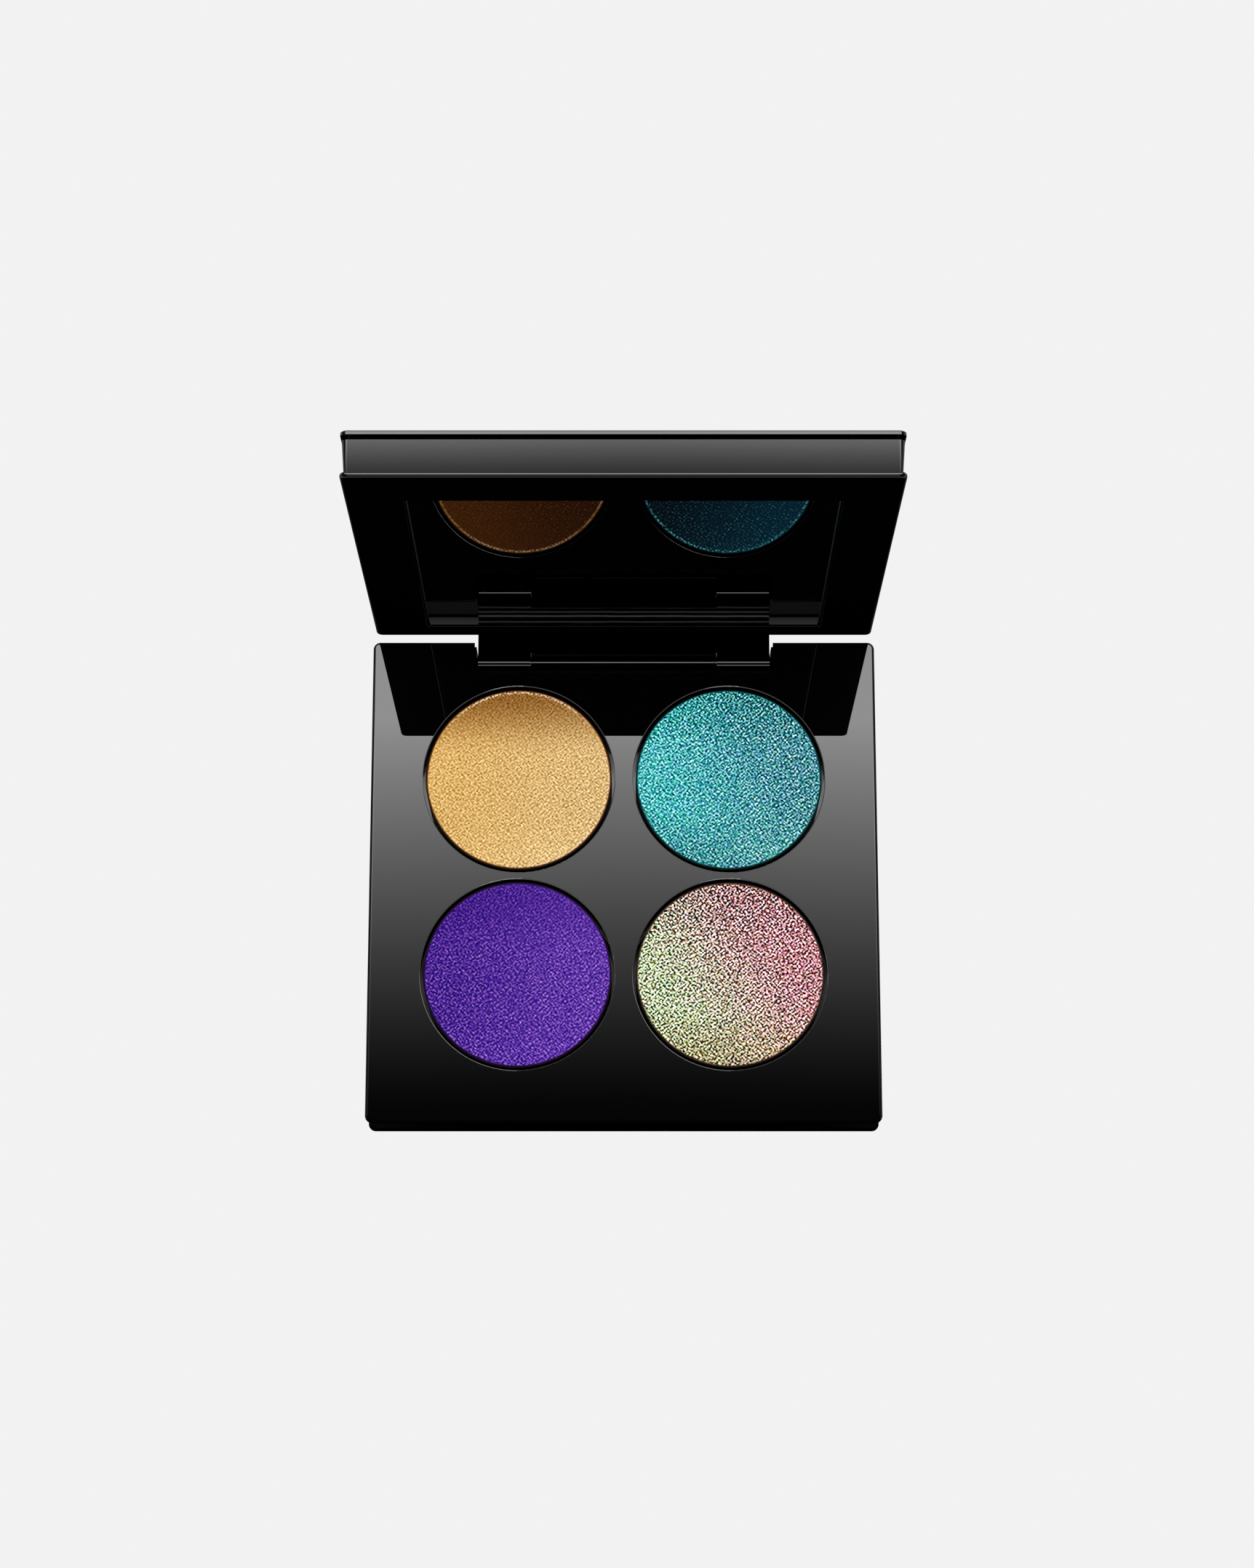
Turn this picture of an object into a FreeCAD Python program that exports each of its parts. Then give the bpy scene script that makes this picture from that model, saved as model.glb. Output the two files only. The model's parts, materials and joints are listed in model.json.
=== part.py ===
"""Eyeshadow palette: a square magnetic compact with four round pans and a mirror in its lid.

Millimetres. The origin is the centre of the flat underside, +X is to the user's right, +Y points
to the hinge at the back and +Z is up. The compact stands open, with its lid upright at 90 degrees.

The base parts are drawn where they stand. The lid parts are drawn in the lid's own frame, which has
its origin at the centre of the lid's inner face, +Y towards the hinge and +Z towards the outer face.
"""
import FreeCAD, Part
import os
import math
import Sketcher

SIZES = [
    # alias, value, meaning
    ("case_width", 72.0, "outside width of base and lid"),
    ("case_depth", 69.6, "outside depth of base and lid"),
    ("base_height", 8.5, "height of the base"),
    ("lid_thickness", 6.3, "thickness of the lid"),
    ("parting_gap", 0.3, "gap between deck and lid when closed"),
    ("corner_radius", 1.0, "plan radius of the four corners"),
    ("edge_round", 0.5, "rounding of the deck's edge"),
    ("plate_round", 0.2, "rounding of the outer plates' edges"),
    ("bead_round", 0.4, "rounding of the rim around the lid's inner face"),
    ("plate_thick", 0.55, "visible thickness of the outer plates"),
    ("groove_height", 0.65, "height of the shadow groove beside each outer plate"),
    ("groove_inset", 1.0, "depth of the shadow groove"),
    ("rim_height", 0.85, "height of the rim at the parting line"),
    ("band_recess", 0.5, "how far the band stands back at the rim"),
    ("band_crown", 0.35, "how far the band stands back half way"),
    ("band_foot", 0.22, "how far the band stands back at the groove"),
    ("wall_thick", 1.5, "wall of both frames"),
    ("fit_gap", 0.1, "clearance of parts that nest"),
    ("lip_height", 0.6, "locating lip on both outer plates"),
    ("lip_wall", 1.2, "wall of the locating lips"),
    ("axis_inset", 1.95, "hinge axis, in from the back edge"),
    ("axis_drop", 4.55, "hinge axis, below the deck"),
    ("pin_radius", 0.75, "hinge pin"),
    ("pin_half", 20.6, "half the length of the hinge pin"),
    ("pin_bevel", 0.2, "bevel at the ends of the pin"),
    ("pin_play", 0.05, "running clearance of the pin in the hinge block"),
    ("barrel_radius", 1.9, "outside of all knuckles"),
    ("web_gap", 0.3, "clearance of the lug's web over the centre knuckle"),
    ("lug_half", 21.05, "half the width of the lid's lug"),
    ("centre_half", 13.45, "half the space between the lid's knuckles"),
    ("block_half", 13.35, "half the width of the hinge block"),
    ("notch_half", 21.45, "half the width of the notch in the deck"),
    ("notch_depth", 4.4, "depth of the notch, from the back edge"),
    ("notch_round", 0.2, "rounding of the notch's edges"),
    ("bay_half", 21.2, "half the width of the bay in the base frame"),
    ("bay_side_wall", 1.2, "side walls of the bay"),
    ("bay_front_wall", 1.0, "front wall of the bay"),
    ("foot_rear", 0.6, "rear of the hinge block's foot, behind the axis"),
    ("peg_radius", 0.9, "locating pegs under the hinge block"),
    ("peg_length", 0.5, "length of the pegs"),
    ("peg_spread", 9.0, "pegs, from the middle"),
    ("peg_inset", 2.9, "pegs, in from the back edge"),
    ("well_radius", 13.65, "wells in the deck"),
    ("well_round", 0.12, "rounding of the wells' edges"),
    ("cup_wall", 0.9, "wall of the cups below the deck"),
    ("cup_floor", 1.0, "floor of the cups"),
    ("deck_pad", 0.75, "inner thickening under the deck's rim"),
    ("well_spread", 14.95, "wells, from the middle"),
    ("well_rear", 14.5, "rear wells, behind the centre"),
    ("well_front", 13.8, "front wells, before the centre"),
    ("pan_radius", 13.25, "pans, 26.5 mm across"),
    ("pan_height", 4.0, "height of the pans"),
    ("pan_wall", 0.25, "sheet of the pans"),
    ("pan_sink", 0.3, "pan rim below the deck"),
    ("powder_gap", 0.02, "powder to pan wall"),
    ("powder_crown", 0.15, "powder above the pan rim, at the middle"),
    ("glue_radius", 10.0, "adhesive discs under the pans"),
    ("glue_thick", 0.2, "thickness of the adhesive discs"),
    ("mirror_width", 56.4, "mirror glass"),
    ("mirror_height", 55.6, "mirror glass"),
    ("mirror_heel", 4.5, "mirror, from the lid's hinge edge"),
    ("mirror_thick", 1.2, "mirror glass"),
    ("mirror_sink", 0.2, "glass below the lid's inner face"),
    ("mirror_bevel", 0.25, "ground edge of the glass"),
    ("mirror_play", 0.15, "glass to the edge of its seat"),
    ("seat_round", 0.12, "rounding of the mirror seat's edges"),
    ("sheet_thick", 0.15, "adhesive sheet behind the glass"),
    ("sheet_inset", 2.0, "adhesive sheet, inside the glass edge"),
    ("seat_floor", 1.3, "wall behind the mirror seat"),
    ("magnet_radius", 2.5, "closing magnets"),
    ("magnet_height", 1.5, "closing magnets"),
    ("magnet_play", 0.05, "magnet in its pocket"),
    ("magnet_spread", 29.5, "magnets, from the middle"),
    ("magnet_front", 29.0, "magnets, before the centre"),
    ("magnet_skin", 0.6, "wall over each magnet"),
    ("boss_radius", 3.5, "bosses around the base magnets"),
    ("boss_skirt", 0.3, "boss below its magnet"),
    ("label_width", 44.0, "label on the underside"),
    ("label_depth", 22.0, "label on the underside"),
    ("label_front", 16.0, "middle of the label, before the centre"),
    ("label_recess", 0.15, "recess for the label"),
    ("label_thick", 0.1, "label"),
]

HALF_WIDTH = "Sizes.case_width / 2"
HALF_DEPTH = "Sizes.case_depth / 2"
AXIS_Y = "(Sizes.case_depth / 2 - Sizes.axis_inset)"
AXIS_Z = "(Sizes.base_height - Sizes.axis_drop)"
LID_AXIS_Z = "(0 - Sizes.axis_drop - Sizes.parting_gap)"
LID_STAND_Y = AXIS_Y + " + Sizes.axis_drop + Sizes.parting_gap"
LID_STAND_Z = AXIS_Z + " + " + AXIS_Y
PLATE_STACK = "(Sizes.plate_thick + Sizes.groove_height)"
BAND_TOP = "(Sizes.base_height - Sizes.rim_height)"
CAVITY_X = "(Sizes.case_width / 2 - Sizes.band_recess - Sizes.wall_thick)"
CAVITY_Y = "(Sizes.case_depth / 2 - Sizes.band_recess - Sizes.wall_thick)"
NOTCH_Y = "(Sizes.case_depth / 2 - Sizes.notch_depth)"
BAY_FRONT_Y = "(Sizes.case_depth / 2 - Sizes.notch_depth - Sizes.bay_front_wall)"
BAY_SIDE_X = "(Sizes.bay_half + Sizes.bay_side_wall)"
SEAT_DEPTH = "(Sizes.mirror_sink + Sizes.mirror_thick + Sizes.sheet_thick)"
MIRROR_NEAR = "(Sizes.case_depth / 2 - Sizes.mirror_heel - Sizes.mirror_height)"
MIRROR_FAR = "(Sizes.case_depth / 2 - Sizes.mirror_heel)"
GLUE_Z = "(Sizes.base_height - Sizes.pan_sink - Sizes.pan_height - Sizes.glue_thick)"
MAGNET_BORE = "Sizes.magnet_radius + Sizes.magnet_play"
WELLS = {
    "gold": ("0 - Sizes.well_spread", "Sizes.well_rear"),
    "teal": ("Sizes.well_spread", "Sizes.well_rear"),
    "purple": ("0 - Sizes.well_spread", "0 - Sizes.well_front"),
    "duochrome": ("Sizes.well_spread", "0 - Sizes.well_front"),
}
MAGNETS = [
    ("0 - Sizes.magnet_spread", "0 - Sizes.magnet_front"),
    ("Sizes.magnet_spread", "0 - Sizes.magnet_front"),
]
LID_TILT = -90.0
ROUGH = 10.0
TINY = 1e-4

doc = FreeCAD.newDocument("eyeshadow_palette")
sheet = doc.addObject("Spreadsheet::Sheet", "Sizes")


# Sheet, sketches and features

def fill_sheet():
    for row, (alias, value, meaning) in enumerate(SIZES, start=1):
        sheet.set(f"A{row}", alias)
        sheet.set(f"B{row}", str(value))
        sheet.set(f"C{row}", meaning)
        sheet.setAlias(f"B{row}", alias)
    doc.recompute()


def size(alias):
    return float(sheet.get(alias))


def new_body(name):
    body = doc.addObject("PartDesign::Body", name)
    body.Label = name
    return body


def stand_in_lid(thing):
    """Turns a lid part upright and sets it behind the hinge."""
    thing.Placement = FreeCAD.Placement(
        FreeCAD.Vector(0, 0, 0), FreeCAD.Rotation(FreeCAD.Vector(1, 0, 0), LID_TILT))
    thing.setExpression("Placement.Base.y", LID_STAND_Y)
    thing.setExpression("Placement.Base.z", LID_STAND_Z)


def new_sketch(body, name, role="XY_Plane", lift=None):
    sketch = body.newObject("Sketcher::SketchObject", name)
    plane = [item for item in body.Origin.OriginFeatures if item.Role == role][0]
    sketch.AttachmentSupport = (plane, [""])
    sketch.MapMode = "FlatFace"
    if lift is not None:
        sketch.setExpression("AttachmentOffset.Base.z", lift)
    return sketch


def bind(sketch, constraint, expression):
    index = sketch.addConstraint(constraint)
    sketch.setExpression(f"Constraints[{index}]", expression)


def place_point(sketch, edge, vertex, across, along):
    """Holds one sketch point at two expressions, or on an axis where the place is zero."""
    if across == "0":
        sketch.addConstraint(Sketcher.Constraint("PointOnObject", edge, vertex, -2))
    else:
        bind(sketch, Sketcher.Constraint("DistanceX", -1, 1, edge, vertex, ROUGH), across)
    if along == "0":
        sketch.addConstraint(Sketcher.Constraint("PointOnObject", edge, vertex, -1))
    else:
        bind(sketch, Sketcher.Constraint("DistanceY", -1, 1, edge, vertex, ROUGH), along)


def draw_polygon(sketch, corners):
    """Closed outline; each corner is a pair of expressions."""
    count = len(corners)
    turn = 2 * math.pi / count
    rough = [FreeCAD.Vector(ROUGH * math.cos(turn * i), ROUGH * math.sin(turn * i), 0)
             for i in range(count)]
    for i in range(count):
        sketch.addGeometry(Part.LineSegment(rough[i], rough[(i + 1) % count]), False)
    for i in range(count):
        sketch.addConstraint(Sketcher.Constraint("Coincident", i, 2, (i + 1) % count, 1))
    for i, (across, along) in enumerate(corners):
        place_point(sketch, i, 1, across, along)


def draw_rectangle(sketch, left, right, near, far):
    draw_polygon(sketch, [(left, near), (right, near), (right, far), (left, far)])


def draw_circle(sketch, across, along, radius):
    middle = FreeCAD.Vector(ROUGH, ROUGH, 0)
    index = sketch.addGeometry(Part.Circle(middle, FreeCAD.Vector(0, 0, 1), 1.0), False)
    place_point(sketch, index, 3, across, along)
    bind(sketch, Sketcher.Constraint("Radius", index, 1.0), radius)


def draw_plate(sketch, inset, radius):
    """The case outline, drawn smaller by inset on every side, with rounded corners."""
    edge = 3 * ROUGH
    bend = 1.0
    reach = edge - bend
    up = FreeCAD.Vector(0, 0, 1)
    for i in range(4):
        angle = i * math.pi / 2
        turn = FreeCAD.Rotation(up, math.degrees(angle))
        start = turn.multVec(FreeCAD.Vector(edge, -reach, 0))
        stop = turn.multVec(FreeCAD.Vector(edge, reach, 0))
        middle = turn.multVec(FreeCAD.Vector(reach, reach, 0))
        sketch.addGeometry(Part.LineSegment(start, stop), False)
        corner = Part.Circle(middle, up, bend)
        sketch.addGeometry(Part.ArcOfCircle(corner, angle, angle + math.pi / 2), False)
    for i in range(4):
        line = 2 * i
        arc = line + 1
        following = (line + 2) % 8
        sketch.addConstraint(Sketcher.Constraint("Tangent", line, 2, arc, 1))
        sketch.addConstraint(Sketcher.Constraint("Tangent", arc, 2, following, 1))
        if i > 0:
            sketch.addConstraint(Sketcher.Constraint("Equal", 1, arc))
        sketch.addConstraint(Sketcher.Constraint("Vertical" if i % 2 == 0 else "Horizontal", line))
    bind(sketch, Sketcher.Constraint("Radius", 1, bend), radius)
    bind(sketch, Sketcher.Constraint("DistanceX", -1, 1, 0, 1, edge), f"{HALF_WIDTH} - {inset}")
    bind(sketch, Sketcher.Constraint("DistanceX", 4, 1, -1, 1, edge), f"{HALF_WIDTH} - {inset}")
    bind(sketch, Sketcher.Constraint("DistanceY", -1, 1, 2, 1, edge), f"{HALF_DEPTH} - {inset}")
    bind(sketch, Sketcher.Constraint("DistanceY", 6, 1, -1, 1, edge), f"{HALF_DEPTH} - {inset}")


def extrude(body, kind, name, sketch, length, down=False, both=False):
    feature = body.newObject(f"PartDesign::{kind}", name)
    feature.Profile = sketch
    feature.Length = 1.0
    feature.setExpression("Length", length)
    feature.Reversed = down
    if both:
        feature.SideType = "Symmetric"
    return feature


def plate_pad(body, name, lift, inset, radius, height):
    sketch = new_sketch(body, f"{name}_outline", lift=lift)
    draw_plate(sketch, inset, radius)
    return extrude(body, "Pad", name, sketch, height)


def box_cut(body, name, lift, sides, depth, down=False):
    sketch = new_sketch(body, f"{name}_outline", lift=lift)
    draw_rectangle(sketch, *sides)
    return extrude(body, "Pocket", name, sketch, depth, down=down)


def box_pad(body, name, lift, sides, height):
    sketch = new_sketch(body, f"{name}_outline", lift=lift)
    draw_rectangle(sketch, *sides)
    return extrude(body, "Pad", name, sketch, height)


def circles(body, name, lift, places, radius):
    sketch = new_sketch(body, f"{name}_outline", lift=lift)
    for across, along in places:
        draw_circle(sketch, across, along, radius)
    return sketch


def across_width(body, kind, name, draw, width):
    """Extrudes a side-on outline evenly to both sides of the middle plane."""
    sketch = new_sketch(body, f"{name}_outline", role="YZ_Plane")
    draw(sketch)
    return extrude(body, kind, name, sketch, width, both=True)


def round_edges(body, name, chosen, radius, kind="Fillet"):
    """Rounds the edges of the current solid for which chosen(edge) is true."""
    doc.recompute()
    base = body.Tip
    names = [f"Edge{i}" for i, edge in enumerate(base.Shape.Edges, start=1) if chosen(edge)]
    feature = body.newObject(f"PartDesign::{kind}", name)
    feature.Base = (base, names)
    quantity = "Radius" if kind == "Fillet" else "Size"
    setattr(feature, quantity, 0.1)
    feature.setExpression(quantity, radius)
    return feature


def lies_level(edge, height):
    box = edge.BoundBox
    return abs(box.ZMin - height) < TINY and abs(box.ZMax - height) < TINY


def lies_across(edge, along):
    """True for an edge that runs from side to side at one place along the case."""
    box = edge.BoundBox
    return abs(box.YMin - along) < TINY and abs(box.YMax - along) < TINY


def within(edge, half):
    """True for an edge no further than half from the middle plane."""
    box = edge.BoundBox
    return max(abs(box.XMin), abs(box.XMax)) < half + TINY


def on_outline(edge):
    """True for an edge on the case outline, its corners included."""
    box = edge.BoundBox
    reach_x = max(abs(box.XMin), abs(box.XMax))
    reach_y = max(abs(box.YMin), abs(box.YMax))
    at_side = abs(reach_x - size("case_width") / 2) < TINY
    at_end = abs(reach_y - size("case_depth") / 2) < TINY
    return at_side or at_end


def revolve(body, name, role, axis, corners):
    sketch = new_sketch(body, f"{name}_outline", role=role)
    draw_polygon(sketch, corners)
    feature = body.newObject("PartDesign::Revolution", name)
    feature.Profile = sketch
    feature.ReferenceAxis = (sketch, [axis])
    feature.Angle = 360.0
    return feature


def band_loft(body, low, high, inset_low, inset_high):
    """The slightly crowned band: three outlines, one above the other, joined smoothly."""
    heights = [low, f"({low} + {high}) / 2", high]
    insets = [inset_low, "Sizes.band_crown", inset_high]
    sketches = []
    for step, (height, inset) in enumerate(zip(heights, insets)):
        sketch = new_sketch(body, f"band_outline_{step}", lift=height)
        draw_plate(sketch, inset, f"Sizes.corner_radius - {inset}")
        sketches.append(sketch)
    loft = body.newObject("PartDesign::AdditiveLoft", "band")
    loft.Profile = sketches[0]
    loft.Sections = sketches[1:]
    return loft


def locating_lip(body, lift):
    """A low frame that nests inside the cavity of the neighbouring frame."""
    outer = [f"0 - {CAVITY_X} + Sizes.fit_gap", f"{CAVITY_X} - Sizes.fit_gap",
             f"0 - {CAVITY_Y} + Sizes.fit_gap", f"{CAVITY_Y} - Sizes.fit_gap"]
    step = "Sizes.fit_gap + Sizes.lip_wall"
    inner = [f"0 - {CAVITY_X} + {step}", f"{CAVITY_X} - ({step})",
             f"0 - {CAVITY_Y} + {step}", f"{CAVITY_Y} - ({step})"]
    sketch = new_sketch(body, "lip_outline", lift=lift)
    draw_rectangle(sketch, *outer)
    extrude(body, "Pad", "lip", sketch, "Sizes.lip_height")
    box_cut(body, "lip_opening", f"{lift} + Sizes.lip_height", inner, "Sizes.lip_height")


# Base

def label_sides(gap):
    """Left, right, near and far side of the label, or of its recess with a gap around it."""
    half = f"Sizes.label_width / 2 + {gap}"
    near = f"0 - Sizes.label_front - Sizes.label_depth / 2 - {gap}"
    far = f"0 - Sizes.label_front + Sizes.label_depth / 2 + {gap}"
    return [f"0 - ({half})", half, near, far]


def make_base_bottom():
    """Bottom plate: visible plate, the step that makes the shadow groove, and the locating lip."""
    body = new_body("base_bottom")
    plate_pad(body, "plate", "0", "0", "Sizes.corner_radius", "Sizes.plate_thick")
    round_edges(body, "lower_edge", lambda edge: lies_level(edge, 0.0), "Sizes.plate_round")
    plate_pad(body, "step", "Sizes.plate_thick", "Sizes.groove_inset", "0.3", "Sizes.groove_height")
    locating_lip(body, PLATE_STACK)
    bay = [f"0 - {BAY_SIDE_X} - Sizes.fit_gap", f"{BAY_SIDE_X} + Sizes.fit_gap",
           f"{BAY_FRONT_Y} - Sizes.fit_gap", HALF_DEPTH]
    box_cut(body, "bay_relief", f"{PLATE_STACK} + Sizes.lip_height", bay, "Sizes.lip_height")
    pegs = [("0 - Sizes.peg_spread", f"{HALF_DEPTH} - Sizes.peg_inset"),
            ("Sizes.peg_spread", f"{HALF_DEPTH} - Sizes.peg_inset")]
    holes = circles(body, "peg_holes", PLATE_STACK, pegs, "Sizes.peg_radius + Sizes.pin_play")
    extrude(body, "Pocket", "peg_holes", holes, "Sizes.peg_length + Sizes.pin_play")
    recess = new_sketch(body, "label_recess_outline")
    draw_rectangle(recess, *label_sides("Sizes.fit_gap"))
    extrude(body, "Pocket", "label_recess", recess, "Sizes.label_recess", down=True)
    return body


def make_base_frame():
    """Band of the base, open above and below, with the walled bay that takes the hinge."""
    body = new_body("base_frame")
    band_loft(body, PLATE_STACK, BAND_TOP, "Sizes.band_foot", "Sizes.band_recess")
    cavity = [f"0 - {CAVITY_X}", CAVITY_X, f"0 - {CAVITY_Y}", CAVITY_Y]
    box_cut(body, "cavity", BAND_TOP, cavity, "Sizes.base_height")
    bay = [f"0 - {BAY_SIDE_X}", BAY_SIDE_X, BAY_FRONT_Y, f"{CAVITY_Y} + Sizes.wall_thick / 2"]
    box_pad(body, "bay", PLATE_STACK, bay, f"{BAND_TOP} - {PLATE_STACK}")
    opening = ["0 - Sizes.bay_half", "Sizes.bay_half", NOTCH_Y, f"{HALF_DEPTH} + 1"]
    box_cut(body, "bay_opening", BAND_TOP, opening, "Sizes.base_height")
    return body


def make_base_deck():
    """Glossy top plate with the four cups for the pans and the two magnet bosses below it."""
    body = new_body("base_deck")
    plate_pad(body, "plate", BAND_TOP, "0", "Sizes.corner_radius", "Sizes.rim_height")
    top = size("base_height")
    round_edges(body, "upper_edge", lambda edge: lies_level(edge, top), "Sizes.edge_round")
    pad_low = f"{BAND_TOP} - Sizes.deck_pad"
    pad_sides = [f"0 - {CAVITY_X} + Sizes.fit_gap", f"{CAVITY_X} - Sizes.fit_gap",
                 f"0 - {CAVITY_Y} + Sizes.fit_gap", f"{CAVITY_Y} - Sizes.fit_gap"]
    box_pad(body, "inner_pad", pad_low, pad_sides, "Sizes.deck_pad")
    bay = [f"0 - {BAY_SIDE_X} - Sizes.fit_gap", f"{BAY_SIDE_X} + Sizes.fit_gap",
           f"{BAY_FRONT_Y} - Sizes.fit_gap", HALF_DEPTH]
    box_cut(body, "bay_relief", BAND_TOP, bay, "Sizes.deck_pad")
    cup_low = f"{GLUE_Z} - Sizes.cup_floor"
    for name, place in WELLS.items():
        outer = circles(body, f"cup_{name}", cup_low, [place], "Sizes.well_radius + Sizes.cup_wall")
        extrude(body, "Pad", f"cup_{name}", outer, f"{BAND_TOP} - ({cup_low})")
    boss_low = "Sizes.base_height - Sizes.magnet_skin - Sizes.magnet_height - Sizes.boss_skirt"
    for side, place in zip(("left", "right"), MAGNETS):
        boss = circles(body, f"boss_{side}", boss_low, [place], "Sizes.boss_radius")
        extrude(body, "Pad", f"boss_{side}", boss, f"{BAND_TOP} - ({boss_low})")
    wells = circles(body, "wells", "Sizes.base_height", WELLS.values(), "Sizes.well_radius")
    extrude(body, "Pocket", "wells", wells, "Sizes.pan_sink + Sizes.pan_height + Sizes.glue_thick")
    pockets = circles(body, "magnet_pockets", boss_low, MAGNETS, MAGNET_BORE)
    depth = "Sizes.magnet_height + Sizes.boss_skirt"
    extrude(body, "Pocket", "magnet_pockets", pockets, depth, down=True)
    notch = ["0 - Sizes.notch_half", "Sizes.notch_half", NOTCH_Y, f"{HALF_DEPTH} + 1"]
    box_cut(body, "notch", "Sizes.base_height", notch, "Sizes.rim_height")
    bore = size("well_radius")
    round_edges(body, "well_edges", lambda edge: lies_level(edge, top) and is_round(edge, bore),
                "Sizes.well_round")
    front = size("case_depth") / 2 - size("notch_depth")
    round_edges(body, "notch_edge", lambda edge: lies_level(edge, top) and lies_across(edge, front),
                "Sizes.notch_round")
    return body


def is_round(edge, radius):
    return isinstance(edge.Curve, Part.Circle) and abs(edge.Curve.Radius - radius) < TINY


def make_hinge_block():
    """Centre knuckle with the foot that is fixed in the bay of the base frame."""
    body = new_body("hinge_block")
    width = "2 * Sizes.block_half"
    foot = [(NOTCH_Y, PLATE_STACK), (f"{AXIS_Y} + Sizes.foot_rear", PLATE_STACK),
            (f"{AXIS_Y} + Sizes.foot_rear", AXIS_Z), (NOTCH_Y, AXIS_Z)]
    across_width(body, "Pad", "foot", lambda sketch: draw_polygon(sketch, foot), width)
    across_width(body, "Pad", "knuckle", lambda sketch: draw_circle(
        sketch, AXIS_Y, AXIS_Z, "Sizes.barrel_radius"), width)
    across_width(body, "Pocket", "bore", lambda sketch: draw_circle(
        sketch, AXIS_Y, AXIS_Z, "Sizes.pin_radius + Sizes.pin_play"), f"{width} + 1")
    pegs = [("0 - Sizes.peg_spread", f"{HALF_DEPTH} - Sizes.peg_inset"),
            ("Sizes.peg_spread", f"{HALF_DEPTH} - Sizes.peg_inset")]
    outline = circles(body, "pegs", PLATE_STACK, pegs, "Sizes.peg_radius")
    extrude(body, "Pad", "pegs", outline, "Sizes.peg_length", down=True)
    return body


def make_underside_label():
    body = new_body("underside_label")
    sketch = new_sketch(body, "label_outline", lift="Sizes.label_recess - Sizes.label_thick")
    draw_rectangle(sketch, *label_sides("0"))
    extrude(body, "Pad", "label", sketch, "Sizes.label_thick")
    return body


# Pans and powders

def stand_in_well(thing, place, height):
    thing.setExpression("Placement.Base.x", place[0])
    thing.setExpression("Placement.Base.y", place[1])
    thing.setExpression("Placement.Base.z", height)


def make_pan(name):
    """Pressed tin pan, drawn on its own axis from its underside up."""
    body = new_body(f"pan_{name}")
    inner = "Sizes.pan_radius - Sizes.pan_wall"
    revolve(body, "pan", "XZ_Plane", "V_Axis", [
        ("0", "0"), ("Sizes.pan_radius", "0"), ("Sizes.pan_radius", "Sizes.pan_height"),
        (inner, "Sizes.pan_height"), (inner, "Sizes.pan_wall"), ("0", "Sizes.pan_wall")])
    stand_in_well(body, WELLS[name], "Sizes.base_height - Sizes.pan_sink - Sizes.pan_height")
    return body


def make_powder(name):
    """Pressed powder that fills its pan, a little higher at the middle than at the rim."""
    body = new_body(f"powder_{name}")
    edge = "Sizes.pan_radius - Sizes.pan_wall - Sizes.powder_gap"
    revolve(body, "powder", "XZ_Plane", "V_Axis", [
        ("0", "Sizes.pan_wall"),
        (edge, "Sizes.pan_wall"),
        (edge, "Sizes.pan_height - Sizes.powder_crown"),
        (f"({edge}) * 0.9", "Sizes.pan_height"), ("0", "Sizes.pan_height + Sizes.powder_crown")])
    stand_in_well(body, WELLS[name], "Sizes.base_height - Sizes.pan_sink - Sizes.pan_height")
    return body


def make_disc(name, radius, height):
    disc = doc.addObject("Part::Cylinder", name)
    disc.setExpression("Radius", radius)
    disc.setExpression("Height", height)
    return disc


def make_group(name, members):
    group = doc.addObject("Part::Compound", name)
    group.Label = name
    group.Links = members
    return group


def make_pan_adhesives():
    discs = []
    for name, place in WELLS.items():
        disc = make_disc(f"adhesive_{name}", "Sizes.glue_radius", "Sizes.glue_thick")
        stand_in_well(disc, place, GLUE_Z)
        discs.append(disc)
    return make_group("pan_adhesives", discs)


def make_magnets(name, height):
    magnets = []
    for side, place in zip(("left", "right"), MAGNETS):
        magnet = make_disc(f"{name}_{side}", "Sizes.magnet_radius", "Sizes.magnet_height")
        stand_in_well(magnet, place, height)
        magnets.append(magnet)
    return make_group(name, magnets)


# Lid

def make_lid_cover():
    """Outer plate of the lid, with its step and locating lip, drawn from the inside out."""
    body = new_body("lid_cover")
    plate_pad(body, "plate", "Sizes.lid_thickness - Sizes.plate_thick", "0", "Sizes.corner_radius",
              "Sizes.plate_thick")
    top = size("lid_thickness")
    round_edges(body, "outer_edge", lambda edge: lies_level(edge, top), "Sizes.plate_round")
    step_low = f"Sizes.lid_thickness - {PLATE_STACK}"
    plate_pad(body, "step", step_low, "Sizes.groove_inset", "0.3", "Sizes.groove_height")
    locating_lip(body, f"{step_low} - Sizes.lip_height")
    stand_in_lid(body)
    return body


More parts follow.
